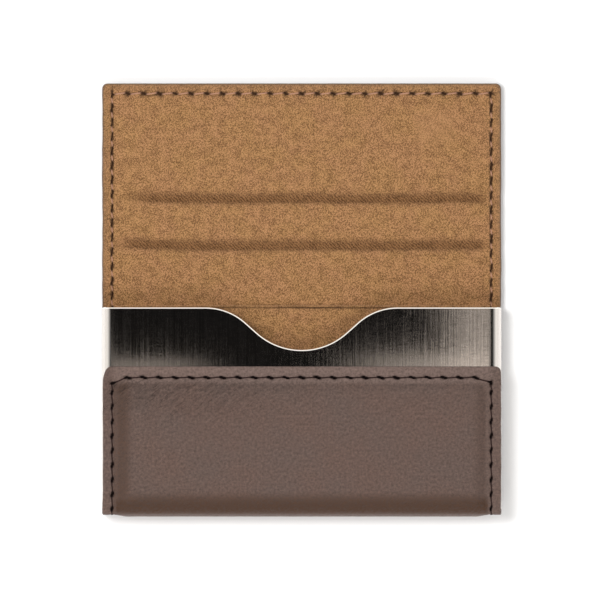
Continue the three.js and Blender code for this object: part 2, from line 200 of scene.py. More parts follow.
def mesh_object(name, points, faces, materials, face_materials=None, attributes=None, crease=50):
    """A smooth-shaded object with its normals outwards. Its points are in millimetres."""
    mesh = bpy.data.meshes.new(name)
    mesh.from_pydata((points * MM).tolist(), [], faces)
    for label, values in (attributes or {}).items():
        kind, key = ("FLOAT_VECTOR", "vector") if values.ndim == 2 else ("FLOAT", "value")
        layer = mesh.attributes.new(label, kind, "POINT")
        layer.data.foreach_set(key, values.astype(np.float32).ravel())
    for material in materials:
        mesh.materials.append(material)
    if face_materials is not None:
        mesh.polygons.foreach_set("material_index", face_materials)
    mesh.polygons.foreach_set("use_smooth", np.ones(len(faces), bool))
    work = bmesh.new()
    work.from_mesh(mesh)
    bmesh.ops.recalc_face_normals(work, faces=work.faces)
    work.to_mesh(mesh)
    work.free()
    mesh.set_sharp_from_angle(angle=math.radians(crease))
    piece = bpy.data.objects.new(name, mesh)
    bpy.context.scene.collection.objects.link(piece)
    return piece


def closed_sheet(name, face, back, materials, attributes):
    """A sheet closed between two grids of points. Its rim has the last of its materials.
    attributes holds a grid of values for each attribute, the same on both sides."""
    rows, columns = face.shape[:2]
    index = np.arange(rows * columns).reshape(rows, columns)
    quads = np.stack([index[:-1, :-1], index[:-1, 1:], index[1:, 1:], index[1:, :-1]], -1)
    quads = quads.reshape(-1, 4)
    rim = np.concatenate([index[0, :-1], index[:-1, -1], index[-1, :0:-1], index[:0:-1, 0]])
    after = np.roll(rim, -1)
    count = rows * columns
    sides = np.stack([rim, after, after + count, rim + count], -1)
    faces = np.concatenate([quads, quads[:, ::-1] + count, sides])
    kinds = np.zeros(len(faces), np.int32)
    kinds[2 * len(quads):] = len(materials) - 1
    points = np.concatenate([face.reshape(-1, 3), back.reshape(-1, 3)])
    both = {}
    for key, values in attributes.items():
        flat = values.reshape(count, -1)
        both[key] = np.concatenate([flat, flat]).squeeze()
    return mesh_object(name, points, faces.tolist(), materials, kinds, both)


# ------------------------------------------------------------------ materials

TAUPE_WARM = (0.119, 0.077, 0.063, 1)
TAUPE_COOL = (0.112, 0.077, 0.065, 1)
# the lighter colour painted on the flat stitched margin: painted light
TAUPE_MARGIN = (0.172, 0.121, 0.104, 1)
# colour of the painted shade at the feet of the padded fields and down their slopes
TAUPE_PAD_SHADE = (0.060, 0.031, 0.019, 1)
# painted shade in the leather's stitch holes and at the needle thread's ends
HOLE_SHADE = (0.004, 0.002, 0.002, 1)
SUEDE_OCHRE = (0.270, 0.143, 0.048, 1)
SUEDE_PINK = (0.290, 0.138, 0.065, 1)
SUEDE_DARK = (0.125, 0.060, 0.024, 1)
SUEDE_LIGHT = (0.545, 0.293, 0.132, 1)
SUEDE_WORN = (0.070, 0.031, 0.012, 1)
SUEDE_WORN_LIGHT = (0.27, 0.136, 0.058, 1)
SUEDE_PRESSED = (0.385, 0.205, 0.092, 1)
SUEDE_EDGE = (0.130, 0.085, 0.060, 1)
# painted shade in the lining's stitch holes and at the bobbin thread's ends
SUEDE_HOLE_SHADE = (0.036, 0.017, 0.009, 1)
SUEDE_SHEEN = (1.0, 0.86, 0.7, 1)
STEEL_DARK = (0.56, 0.52, 0.48, 1)
STEEL_LIGHT = (0.86, 0.81, 0.76, 1)
STEEL_SIDE = (0.73, 0.69, 0.65, 1)
STEEL_POLISHED = (0.91, 0.87, 0.81, 1)
NEEDLE_DARK = (0.016, 0.009, 0.008, 1)
NEEDLE_LIGHT = (0.050, 0.030, 0.027, 1)
BOBBIN_DARK = (0.30, 0.145, 0.088, 1)
BOBBIN_LIGHT = (0.55, 0.32, 0.215, 1)
EDGE_DARK = (0.040, 0.025, 0.018, 1)
EDGE_LIGHT = (0.085, 0.055, 0.040, 1)
BOARD_GREY = (0.25, 0.23, 0.20, 1)
FOAM_DARK = (0.04, 0.04, 0.038, 1)
NICKEL = (0.7, 0.7, 0.71, 1)
PANEL_WARM = (1.0, 0.90, 0.82)
SKY_WARM = (1.0, 0.985, 0.965, 1)
TWILL_SCALE = 0.53  # of the wave that makes the twill's ribs


def new_material(name, **settings):
    """A material's node tree and its Principled shader, with constants set on the shader."""
    material = bpy.data.materials.new(name)
    material.use_nodes = True
    shader = material.node_tree.nodes["Principled BSDF"]
    for key, value in settings.items():
        shader.inputs[key.replace("_", " ")].default_value = value
    return material, shader


def add_node(tree, kind, inputs=None, **settings):
    """A node with its settings, and its inputs set to values or linked to sockets."""
    node = tree.nodes.new("ShaderNode" + kind)
    for key, value in settings.items():
        setattr(node, key, value)
    for key, value in (inputs or {}).items():
        if isinstance(value, bpy.types.NodeSocket):
            tree.links.new(value, node.inputs[key])
        else:
            node.inputs[key].default_value = value
    return node


def math_node(tree, operation, *values):
    return add_node(tree, "Math", dict(enumerate(values)), operation=operation).outputs[0]


def mixed(tree, factor, first, second, blend="MIX"):
    """Two colours mixed."""
    node = add_node(tree, "Mix", data_type="RGBA", blend_type=blend)
    for socket, value in zip((0, 6, 7), (factor, first, second)):
        if isinstance(value, bpy.types.NodeSocket):
            tree.links.new(value, node.inputs[socket])
        else:
            node.inputs[socket].default_value = value
    return node.outputs[2]


def attribute(tree, name, output="Fac"):
    """A value that the mesh holds at each of its points."""
    return add_node(tree, "Attribute", attribute_name=name).outputs[output]


def stretched(tree, vector, scale, turn=0.0):
    """The vector turned in its plane and then scaled."""
    inputs = {"Vector": vector, "Angle": turn}
    turned = add_node(tree, "VectorRotate", inputs, rotation_type="Z_AXIS").outputs[0]
    return add_node(tree, "VectorMath", {0: turned, 1: scale}, operation="MULTIPLY").outputs[0]


def noise(tree, vector, scale, detail=3.0, roughness=0.55):
    inputs = {"Vector": vector, "Scale": scale, "Detail": detail, "Roughness": roughness}
    return add_node(tree, "TexNoise", inputs).outputs["Fac"]


def ranged(tree, value, low, high, out_low=0.0, out_high=1.0):
    """value taken from one range to another, and held inside it."""
    inputs = dict(enumerate((value, low, high, out_low, out_high)))
    return add_node(tree, "MapRange", inputs).outputs[0]


def bumped(tree, shader, height, distance, strength=1.0, normal=None):
    """Adds a bump of the height, at most distance millimetres deep, to the shader."""
    inputs = {"Height": height, "Distance": distance * MM, "Strength": strength}
    if normal is not None:
        inputs["Normal"] = normal
    bump = add_node(tree, "Bump", inputs).outputs[0]
    tree.links.new(bump, shader.inputs["Normal"])
    return bump


def grey(value):
    return (value, value, value, 1)


def leather_material():
    """Smooth taupe leather: fine pores, soft wrinkles with painted light and shade along them, painted
    shade at the feet of the padded fields, and painted light on the stitched margin.
    """
    material, shader = new_material("leather", Roughness=0.55, Specular_IOR_Level=0.25)
    tree = material.node_tree
    place = attribute(tree, "flat", "Vector")
    clouds = noise(tree, place, 0.09, 3)
    mottle = noise(tree, place, 1.6, 4, 0.7)
    pores = add_node(tree, "TexVoronoi", {"Vector": place, "Scale": 3.2, "Randomness": 1.0})
    colour = mixed(tree, ranged(tree, clouds, 0.35, 0.65), TAUPE_WARM, TAUPE_COOL)
    # Painted light: the flat stitched margin is painted lighter than the padded field.
    colour = mixed(tree, attribute(tree, "margin"), colour, TAUPE_MARGIN)
    # Painted shade at the feet of the padded fields and down their slopes, made uneven by the mottle.
    uneven = ranged(tree, mottle, 0.3, 0.7, 0.45, 1.4)
    pad_shade = math_node(tree, "MULTIPLY", attribute(tree, "pad_shade"), uneven)
    colour = mixed(tree, ranged(tree, pad_shade, 0.0, 1.0), colour, TAUPE_PAD_SHADE)
    shade = ranged(tree, mottle, 0.3, 0.7, 0.6, 1.4)
    # The wrinkles also lighten and darken the colour: painted light and shade along them, besides their
    # bump.
    folds = noise(tree, stretched(tree, place, (0.2, 0.75, 1), WRINKLE_WAY), 1.0, 4, 0.6)
    folds = math_node(tree, "SUBTRACT", folds, 0.5)
    folds = math_node(tree, "MULTIPLY", folds, attribute(tree, "creased"))
    shade = math_node(tree, "MULTIPLY_ADD", folds, 0.9, shade)
    shades = add_node(tree, "CombineColor", {0: shade, 1: shade, 2: shade}).outputs[0]
    colour = mixed(tree, 1.0, colour, shades, "MULTIPLY")
    # Painted shade in the stitch holes.
    colour = mixed(tree, attribute(tree, "hole"), colour, HOLE_SHADE)
    tree.links.new(colour, shader.inputs["Base Color"])
    tree.links.new(ranged(tree, mottle, 0.3, 0.7, 0.5, 0.62), shader.inputs["Roughness"])
    grain = noise(tree, stretched(tree, place, (0.7, 1.3, 1), 0.7), 1.9, 4, 0.65)
    first = bumped(tree, shader, pores.outputs["Distance"], 0.06, 0.7)
    second = bumped(tree, shader, grain, 0.4, 1.0, first)
    bumped(tree, shader, folds, 1.8, 1.0, second)
    return material


def suede_material():
    """Tan microfibre with a short nap, which wears down to the twill in the folds."""
    material, shader = new_material(
        "suede", Roughness=0.95, Specular_IOR_Level=0.15, Sheen_Weight=0.25,
        Sheen_Roughness=0.5, Sheen_Tint=SUEDE_SHEEN,
    )
    tree = material.node_tree
    place = attribute(tree, "flat", "Vector")
    patches = noise(tree, place, 0.13, 3)
    tufts = noise(tree, place, 0.5, 3, 0.6)
    coarse = noise(tree, stretched(tree, place, (1, 0.75, 1), 0.5), 2.7, 2, 0.8)
    fine = noise(tree, stretched(tree, place, (0.85, 1, 1), 0.9), 4.4, 1, 0.8)
    fibres = math_node(tree, "MULTIPLY", math_node(tree, "ADD", coarse, fine), 0.5)
    colour = mixed(tree, ranged(tree, patches, 0.4, 0.6), SUEDE_OCHRE, SUEDE_PINK)
    shift = ranged(tree, tufts, 0.35, 0.65, -0.22, 0.22)
    speckle = math_node(tree, "ADD", ranged(tree, fibres, 0.44, 0.56), shift)
    dark = mixed(tree, 0.9, colour, SUEDE_DARK)
    light = mixed(tree, 0.55, colour, SUEDE_LIGHT)
    colour = mixed(tree, speckle, dark, light)
    ribs = {
        "Vector": stretched(tree, place, (1, 1, 1), -math.pi / 4),
        "Scale": TWILL_SCALE, "Distortion": 5.0, "Detail": 3.0, "Detail Scale": 2.0,
    }
    twill = add_node(tree, "TexWave", ribs, bands_direction="X").outputs["Fac"]
    weave = math_node(tree, "MULTIPLY_ADD", speckle, 0.7, -0.22)
    weave = math_node(tree, "MULTIPLY_ADD", twill, 0.65, weave)
    worn = mixed(tree, weave, SUEDE_WORN, SUEDE_WORN_LIGHT)
    colour = mixed(tree, attribute(tree, "worn"), colour, worn)
    colour = mixed(tree, attribute(tree, "pressed"), colour, SUEDE_PRESSED)
    colour = mixed(tree, attribute(tree, "edge"), colour, SUEDE_EDGE)
    # Painted shade in the stitch holes.
    colour = mixed(tree, attribute(tree, "hole"), colour, SUEDE_HOLE_SHADE)
    tree.links.new(colour, shader.inputs["Base Color"])
    first = bumped(tree, shader, fibres, 0.12, 0.7)
    bumped(tree, shader, tufts, 0.12, 0.4, first)
    return material


def steel_material():
    """Steel brushed from top to bottom, more smoothly round its bends and down its sides."""
    material, shader = new_material("brushed_steel", Metallic=1.0, Roughness=0.13)
    tree = material.node_tree
    place = add_node(tree, "TexCoord").outputs["Object"]
    fine = noise(tree, stretched(tree, place, (7000, 60, 7000)), 1.0, 3, 0.8)
    broad = noise(tree, stretched(tree, place, (1500, 16, 1500)), 1.0, 2)
    weave = noise(tree, stretched(tree, place, (400, 5200, 400)), 1.0, 2)
    across = add_node(tree, "SeparateXYZ", {0: place}).outputs[0]
    bend = (HALF - FRONT_BEND) * MM
    # Almost 0 round the bends and down the sides, and 1 between them.
    on_face = ranged(tree, math_node(tree, "ABSOLUTE", across), bend - 0.5 * MM, bend, 1.0, 0.05)
    weave = math_node(tree, "MULTIPLY", math_node(tree, "SUBTRACT", weave, 0.5), on_face)
    streaks = math_node(tree, "MULTIPLY_ADD", fine, 1.5, math_node(tree, "ADD", broad, weave))
    colour = mixed(tree, ranged(tree, streaks, 0.95, 1.55), STEEL_DARK, STEEL_LIGHT)
    calmer = mixed(tree, 0.25, STEEL_SIDE, colour)
    tree.links.new(mixed(tree, on_face, calmer, colour), shader.inputs["Base Color"])
    roughness = ranged(tree, streaks, 0.9, 1.6, 0.13, 0.225)
    roughness = math_node(tree, "MULTIPLY_ADD", on_face, -0.06, roughness)
    tree.links.new(roughness, shader.inputs["Roughness"])
    first = bumped(tree, shader, math_node(tree, "MULTIPLY", fine, on_face), 0.02, 0.5)
    bumped(tree, shader, math_node(tree, "MULTIPLY", broad, on_face), 0.03, 0.5, first)
    return material


def polished_material():
    """The tray's cut edge, ground and polished."""
    material, shader = new_material("polished_edge", Metallic=1.0, Base_Color=STEEL_POLISHED)
    tree = material.node_tree
    place = add_node(tree, "TexCoord").outputs["Object"]
    smudges = noise(tree, stretched(tree, place, (900, 900, 900)), 1.0, 3)
    tree.links.new(ranged(tree, smudges, 0.3, 0.7, 0.08, 0.16), shader.inputs["Roughness"])
    return material


def edge_material():
    """Dark paint on the cover's cut edge."""
    material, shader = new_material("edge_paint", Roughness=0.5, Specular_IOR_Level=0.4)
    tree = material.node_tree
    place = attribute(tree, "flat", "Vector")
    uneven = noise(tree, place, 1.4, 3)
    colour = mixed(tree, ranged(tree, uneven, 0.35, 0.65), EDGE_DARK, EDGE_LIGHT)
    tree.links.new(colour, shader.inputs["Base Color"])
    bumped(tree, shader, uneven, 0.05, 0.5)
    return material


def thread_material(name, dark, light, hole):
    """Twisted thread: its plies show as slanting bands."""
    material, shader = new_material(name, Roughness=0.7, Specular_IOR_Level=0.1)
    tree = material.node_tree
    bands = {"Vector": attribute(tree, "flat", "Vector"), "Scale": 0.8, "Distortion": 0.5}
    plies = add_node(tree, "TexWave", bands, bands_direction="DIAGONAL").outputs["Fac"]
    # The thread darkens towards its ends: painted shade where it dives into the holes.
    colour = mixed(tree, attribute(tree, "hole"), mixed(tree, plies, dark, light), hole)
    tree.links.new(colour, shader.inputs["Base Color"])
    bumped(tree, shader, plies, 0.05, 0.6)
    return material


def hidden_material(name, colour, roughness, scale, metallic=0.0):
    """For the pieces inside the cover: a mottled board, foam or plating."""
    material, shader = new_material(name, Roughness=roughness, Metallic=metallic)
    tree = material.node_tree
    place = add_node(tree, "TexCoord").outputs["Object"]
    grain = noise(tree, place, scale, 4)
    dark = tuple(0.7 * channel for channel in colour[:3]) + (1,)
    tree.links.new(mixed(tree, grain, dark, colour), shader.inputs["Base Color"])
    bumped(tree, shader, grain, 0.05, 0.4)
    return material


LEATHER_MATERIAL = leather_material()
SUEDE_MATERIAL = suede_material()
EDGE_MATERIAL = edge_material()
NEEDLE_MATERIAL = thread_material("needle_thread", NEEDLE_DARK, NEEDLE_LIGHT, HOLE_SHADE)
BOBBIN_MATERIAL = thread_material("bobbin_thread", BOBBIN_DARK, BOBBIN_LIGHT, SUEDE_HOLE_SHADE)
STEEL_MATERIAL = steel_material()
POLISHED_MATERIAL = polished_material()


# ------------------------------------------------------------------ the cover's shape


def rounded_corners(x, run):
    """Draws the grid in at the four free corners, so that they are round."""
    for edge, sign in ((FREE_EDGE, 1), (FRONT_TOP, -1)):
        a = np.clip((abs(x) - (HALF - CORNER)) / CORNER, 0, 1)
        b = np.clip((sign * (run - edge) + CORNER) / CORNER, 0, 1)
        corner = (a > 0) & (b > 0)
        moved_x = np.sign(x) * (HALF - CORNER + CORNER * a * np.sqrt(1 - b * b / 2))
        moved_run = edge + sign * (CORNER * b * np.sqrt(1 - a * a / 2) - CORNER)
        x, run = np.where(corner, moved_x, x), np.where(corner, moved_run, run)
    return x, run


def edge_distance(x, run):
    """How far a place is from the cover's cut edge."""
    straight = np.minimum(HALF - abs(x), np.minimum(FREE_EDGE - run, run - FRONT_TOP))
    for edge, sign in ((FREE_EDGE, 1), (FRONT_TOP, -1)):
        a = abs(x) - (HALF - CORNER)
        b = sign * (run - edge) + CORNER
        round_one = CORNER - np.hypot(a, b)
        straight = np.where((a > 0) & (b > 0), round_one, straight)
    return np.maximum(straight, 0)


def fold_places(x, run):
    """For each fold, how far a place is past its middle, and how deep the fold is there. The
    folds wander a little, and fade towards the left."""
    for fold, fade in zip(FOLDS, (-43.5, -40.5)):
        wander = 0.15 * ripple(x, x * 0, (61, 37), 5) + 0.5 * (1 - smooth(x, -45, -30))
        depth = smooth(x, fade - 2.5, fade + 5) * (1 - smooth(x, 41.5, 45))
        yield run - fold - wander, depth


def fold_sink(x, run, at_seam=FOLD_SINK_AT_SEAM):
    """How far the cover sinks at the folds, which is less over the seams."""
    sink = 0
    for past, depth in fold_places(x, run):
        strip = 1 - smooth(abs(past), 0, FOLD_REACH)
        sink = sink + strip * (at_seam + (FOLD_SINK - at_seam) * depth)
    return sink


def fold_wear(x, run):
    """How far the nap is worn down in the folds, which is more on the side of the flap."""
    wear = 0
    for past, depth in fold_places(x, run):
        wear = wear + depth * smooth(past, -1.4, -0.5) * (1 - smooth(past, 0.3, 2.6))
    return wear


def pad_lift(run):
    """Height of the padded fields above the stitched edge, along the middle of the cover."""
    pad = PADDED - MARGIN
    bottom_start, bottom_end = FRONT_START + BEND, TRAY_LOW.y - BEND
    # Each field's height, then where it starts and ends its rise and its fall.
    fields = (
        (pad, FRONT_TOP + 3.2, FRONT_TOP + 6.1, FRONT_START - 2.8, FRONT_START + FOOT_REACH),
        (BOTTOM_DEPTH - MARGIN, bottom_start - 0.3, bottom_start + 1.5, bottom_end - 1.5, bottom_end + 0.3),
        (pad, TRAY_LOW.y - FOOT_REACH, TRAY_LOW.y + 2.8, REAR_FOLD - 4.4, REAR_FOLD - 0.6),
        (SPINE_DEPTH - MARGIN, REAR_FOLD - 3.4, REAR_FOLD - 2.4, FRONT_FOLD + 2.4, FRONT_FOLD + 3.4),
        (pad, FRONT_FOLD + 0.6, FRONT_FOLD + 4.4, FREE_EDGE - 6.1, FREE_EDGE - 3.2),
    )
    lifts = [
        height * smooth(run, rise, risen) * (1 - smooth(run, fall, fallen))
        for height, rise, risen, fall, fallen in fields
    ]
    return np.max(lifts, axis=0)


def pad_height(x, run):
    """Height of the padded fields above the stitched edge."""
    across = smooth(HALF - abs(x), 2.9, 6.1)
    return across * pad_lift(run)


def painted_pad_shade(x, run):
    """How much painted shade lies at the feet of the front panel's padded field: most along the
    bottom, less at the sides and least at the right. On the back, painted shade lies down the
    slopes at its sides, more where they are steeper."""
    from_side = HALF - abs(x)
    sides = 0.6 * smooth(from_side, 2.2, 3.0) * (1 - smooth(from_side, 5.2, 7.6))
    sides = sides * smooth(run, FRONT_TOP + 2.6, FRONT_TOP + 5) * (1 - 0.65 * smooth(x, -20, 20))
    foot = smooth(run, FRONT_START - 4.6, FRONT_START - 0.8)
    foot = foot * (1 - 0.45 * smooth(run, FRONT_START + 0.3, FRONT_START + 2.0))
    dark = np.maximum(sides, foot * smooth(from_side, 2.6, 3.6))
    dark = dark * (1 - smooth(run, FRONT_START + 2.2, FRONT_START + 3))
    on_back = 0.35 * smooth(run, FRONT_START + 3, FRONT_START + 5)
    slope = np.gradient(pad_height(x, run), axis=1) / np.gradient(x, axis=1)
    return dark + on_back * np.clip(abs(slope) * 1.3, 0, 1)


# ------------------------------------------------------------------ the seam


def seam_route():
    """Corners of the seam round the cover, from the front panel's top to the flap's free edge,
    as (x, run)."""
    return [
        (-SEAM_X, SPINE_MIDDLE), (-SEAM_X, FRONT_SEAM), (SEAM_X, FRONT_SEAM),
        (SEAM_X, FLAP_SEAM), (-SEAM_X, FLAP_SEAM), (-SEAM_X, SPINE_MIDDLE),
    ]


def seam_holes():
    """The needle's holes in order round the seam, as an array of (x, run), and the direction of
    the seam at each."""
    places, ways = [], []
    corners = np.array(seam_route())
    for start, end in zip(corners[:-1], corners[1:]):
        length = np.hypot(*(end - start))
        pitch = SIDE_PITCH if start[0] == end[0] else END_PITCH
        count = round(length / pitch)
        for i in range(count):
            places.append(start + (end - start) * i / count)
            ways.append((end - start) / length)
    return np.array(places), np.array(ways)


def lowered_corners(places):
    """Moves the two corner holes of the front panel down its sides."""
    x, run = places[:, 0], places[:, 1]
    corner = (abs(abs(x) - SEAM_X) < 0.1) & (abs(run - FRONT_SEAM) < 0.1)
    return np.stack([x, np.where(corner, run + CUT_CORNER, run)], -1)


ROUTE_HOLES, HOLE_WAYS = seam_holes()
HOLES = lowered_corners(ROUTE_HOLES)


def hole_marks(x, run, end_size, side_size, slant=0.0, ragged=0.0):
    """1 at the middle of each hole, falling to 0 outside it. The holes are ovals that lie along
    the seam, turned by slant, and ragged makes their outline uneven. Each size is half a length
    and half a width, for the holes along the cover's ends and sides."""
    rng = np.random.default_rng(4)
    marks = np.zeros(x.shape)
    for hole, way in zip(HOLES, HOLE_WAYS):
        size = np.array(side_size if way[0] == 0 else end_size)
        long, wide = size * rng.uniform(0.78, 1.18, 2)
        phases = rng.uniform(0, 2 * math.pi, 2)
        hole_x, hole_run = hole + rng.normal(0, 0.035, 2)
        near = (abs(x - hole_x) < 2.2) & (abs(run - hole_run) < 2.2)
        dx, dr = x[near] - hole_x, run[near] - hole_run
        along = dx * way[0] + dr * way[1]
        side = dr * way[0] - dx * way[1]
        a = (along * math.cos(slant) + side * math.sin(slant)) / long
        b = (side * math.cos(slant) - along * math.sin(slant)) / wide
        around = np.arctan2(b, a)
        uneven = np.sin(4 * around + phases[0]) + 0.7 * np.sin(7 * around + phases[1])
        mark = np.exp(-((np.hypot(a, b) * (1 + ragged * uneven)) ** 3))
        marks[near] = np.maximum(marks[near], mark)
    return marks


def seam_distance(x, run):
    """How far a place is from the line of the seam."""
    side = np.where((run > FRONT_SEAM) & (run < FLAP_SEAM), abs(abs(x) - SEAM_X), 9.0)
    ends = np.minimum(abs(run - FRONT_SEAM), abs(run - FLAP_SEAM))
    ends = np.where(abs(x) < SEAM_X, ends, 9.0)
    return np.minimum(side, ends)


class Stitch(NamedTuple):
    """How a stitch lies on its face. outward is 1 on the leather and -1 on the lining. rise is
    its height above the face, dive its depth in the holes, slant how far its ends lie off the
    seam, and knot how much thicker they are. dark_ends and dark_sides say where the holes' shade
    on it ends, for the stitches along the cover's ends and sides."""

    outward: int
    rise: float
    dive: float
    slant: float
    knot: float
    dark_ends: tuple
    dark_sides: tuple


NEEDLE_STITCH = Stitch(1, 0.04, 0.3, 0.16, 0.85, (0.5, 0.8), (0.45, 0.75))
BOBBIN_STITCH = Stitch(-1, 0.0, 0.4, -0.26, 0.4, (0.35, 0.8), (0.75, 0.97))
THREAD_WIDE = 0.17  # half of the thread's width and height
THREAD_HIGH = 0.13
AROUND = np.linspace(0, 2 * math.pi, 8, endpoint=False)
STEPS = np.linspace(0, 1, 17)
FROM_HOLE = np.sin(math.pi * STEPS)  # 0 at a stitch's ends and 1 in its middle


def tube_faces(first):
    """Faces of a stitch, a tube closed at both ends, whose points are numbered from first."""
    sides = len(AROUND)
    ring = np.arange(sides)
    after = (ring + 1) % sides
    faces = []
    for start in range(first, first + (len(STEPS) - 1) * sides, sides):
        end = start + sides
        faces += np.stack([start + ring, start + after, end + after, end + ring], -1).tolist()
    faces.append((first + ring[::-1]).tolist())
    faces.append((first + (len(STEPS) - 1) * sides + ring).tolist())
    return faces


def stitch_points(start, end, surface, stitch):
    """Points of the stitch from one hole to another, as (x, run, depth)."""
    way = (end - start) / np.hypot(*(end - start))
    side = np.array([-way[1], way[0]])
    line = start + (end - start) * STEPS[:, None]
    line = line + side * (stitch.slant * (1 - 2 * STEPS))[:, None]
    swell = (1 + stitch.knot * (1 - smooth(FROM_HOLE, 0.35, 0.72)))[:, None]
    lift = (stitch.rise + stitch.dive) * smooth(FROM_HOLE, 0.1, 0.7) - stitch.dive
    across = np.cos(AROUND) * THREAD_WIDE * swell
    middle = surface(line[:, 0], line[:, 1]) + stitch.outward * lift
    depth = middle[:, None] + np.sin(AROUND) * THREAD_HIGH * swell
    return line[:, :1] + side[0] * across, line[:, 1:] + side[1] * across, depth


def stitches(name, surface, stitch, keep, material):
    """The stitches between one hole and the next, for the holes that keep picks. surface gives
    the depth of the face that they lie on."""
    points, faces, flats, darks = [], [], [], []
    size = len(STEPS) * len(AROUND)
    for number, (start, end) in enumerate(zip(HOLES, np.roll(HOLES, -1, axis=0))):
        if not keep((start[1] + end[1]) / 2):
            continue
        faces += tube_faces(len(points) * size)
        x, run, depth = stitch_points(start, end, surface, stitch)
        points.append(wrapped(x, run, depth).reshape(-1, 3))
        along = np.broadcast_to(STEPS[:, None] * 12 + number, x.shape)
        round_it = np.broadcast_to(AROUND * 0.9, x.shape)
        flats.append(np.stack([along, round_it, x * 0], -1).reshape(-1, 3))
        shade = stitch.dark_sides if start[0] == end[0] else stitch.dark_ends
        # painted shade on the thread towards the holes
        darks.append(np.repeat(1 - smooth(FROM_HOLE, *shade), len(AROUND)))
    attributes = {"flat": np.concatenate(flats), "hole": np.concatenate(darks)}
    return mesh_object(name, np.concatenate(points), faces, [material], None, attributes)


# ------------------------------------------------------------------ leather and lining


def leather_inside(x, run):
    """Depth of the leather's inside, which lies on the boards and the foam."""
    return LINING + np.maximum(pad_height(x, run), fold_sink(x, run))


def creasing(x, run):
    """How strongly the leather is creased: most near the front panel's upper left corner."""
    down = smooth(run, FRONT_TOP + 2.5, FRONT_TOP + 4)
    down = down * (1 - 0.85 * smooth(run, FRONT_TOP + 6, FRONT_TOP + 16))
    across = 1 - 0.75 * smooth(x, -30, 10)
    return np.where(run < FRONT_START, down * across, 0.2)


def slanting_wrinkles(x, run):
    """Short wrinkles that run up to the right, from -1 to 1."""
    across = x * math.sin(WRINKLE_WAY) + run * math.cos(WRINKLE_WAY)
    wander = ripple(x, run, (13, 8, 5.5), 31)
    strength = 0.5 + 0.5 * ripple(x, run, (9, 6.5, 4.7), 32)
    return strength * np.sin(2 * math.pi * (across / WRINKLE_SPACING + 0.7 * wander))


def leather_outside(x, run):
    """Depth of the leather's outside, without the holes."""
    depth = MARGIN + np.maximum(pad_height(x, run), fold_sink(x, run, at_seam=0))
    depth = depth - 0.14 * np.exp(-((seam_distance(x, run) / 0.55) ** 2))
    rounding = 0.35
    inward = np.clip(rounding - edge_distance(x, run), 0, rounding)
    depth = depth - (rounding - np.sqrt(rounding**2 - inward**2))
    on_front = 1 - smooth(run, FRONT_START - 6, FRONT_START - 1)
    field = pad_height(x, run) / (PADDED - MARGIN)
    crown = np.clip(1 - (x / HALF) ** 4, 0, 1) * 0.12
    wrinkles = 0.035 * ripple(x, run, (23, 14, 9, 6.1, 4.3), 11)
    wrinkles = wrinkles + WRINKLE_DEPTH * creasing(x, run) * slanting_wrinkles(x, run)
    return depth + on_front * field * (crown + wrinkles)


def lining_face(x, run):
    """Depth of the lining's napped face, without the holes."""
    depth = fold_sink(x, run) + 0.03 + 0.03 * ripple(x, run, (31, 19, 11), 7)
    groove = 0.12 * np.exp(-((seam_distance(x, run) / 0.5) ** 2))
    rounding = 0.15
    inward = np.clip(rounding - edge_distance(x, run), 0, rounding)
    return depth + groove + rounding - np.sqrt(rounding**2 - inward**2)


def seam_strip(seam):
    """Fine grid lines over a seam."""
    return (seam - SEAM_STRIP, seam + SEAM_STRIP, SEAM_STEP)


COLUMNS = grid_lines(
    (-HALF, -HALF + EDGE_STRIP, EDGE_STEP),
    (-HALF + EDGE_STRIP, -SEAM_X - SEAM_STRIP, MARGIN_STEP),
    seam_strip(-SEAM_X),
    (-SEAM_X + SEAM_STRIP, SEAM_X - SEAM_STRIP, END_PITCH / 10),
    seam_strip(SEAM_X),
    (SEAM_X + SEAM_STRIP, HALF - EDGE_STRIP, MARGIN_STEP),
    (HALF - EDGE_STRIP, HALF, EDGE_STEP),
)


def cover_grid(rows):
    """Places over the cover's whole width, for rows at the given runs."""
    x, run = np.meshgrid(COLUMNS, rows)
    return rounded_corners(x, run)


def wobbled(x, run):
    """x with the cut edges wandering a little. The front panel is trimmed at its left side, most
    at its top corner."""
    at_edge = smooth(abs(x), HALF - 4, HALF)
    wander = 0.07 * (1 + ripple(run, x * 0 + np.sign(x), (17, 9, 5.5), 3))
    at_top = 0.7 * (1 - smooth(run, FRONT_TOP, FRONT_TOP + 3.2))
    on_front = 0.13 * (1 - smooth(run, FRONT_START - 3, FRONT_START))
    trimmed = (at_top + on_front) * (x < 0)
    return x - np.sign(x) * at_edge * (wander + trimmed)


def leather_sheet(name, rows):
    """A stretch of the leather, with a painted edge."""
    x, run = cover_grid(rows)
    on_margin = 1 - smooth(pad_height(x, run), 0, 0.5)
    marks = hole_marks(x, run, *LEATHER_HOLES, slant=LEATHER_HOLE_SLANT)
    depth = leather_outside(x, run) - LEATHER_HOLE_DEPTH * marks
    outside = wrapped(wobbled(x, run), run, depth)
    inside = wrapped(wobbled(x, run), run, leather_inside(x, run))
    attributes = {
        "flat": np.stack([x, run, x * 0], -1),
        # painted shade at the feet of the padded fields and down their slopes
        "pad_shade": np.clip(painted_pad_shade(x, run), 0, 1),
        "creased": creasing(x, run),
        # painted light on the flat stitched margin, more of it further in from the sides
        "margin": on_margin * (0.15 + 0.6 * smooth(HALF - abs(x), 1, 4)),
        # painted shade in the stitch holes, which are also sunk
        "hole": marks,
    }
    return closed_sheet(name, outside, inside, [LEATHER_MATERIAL, EDGE_MATERIAL], attributes)


def pressed_nap(x, run):
    """How far the nap is pressed smooth, which is only over the right-hand magnet."""
    low, high = span("flap_magnet_right")
    middle = (low + high) / 2
    across = 1 - smooth(abs(x - middle.x), 4.2, 5.1)
    return PRESSED * across * (1 - smooth(abs(run - middle.y), 2.9, 4.4))


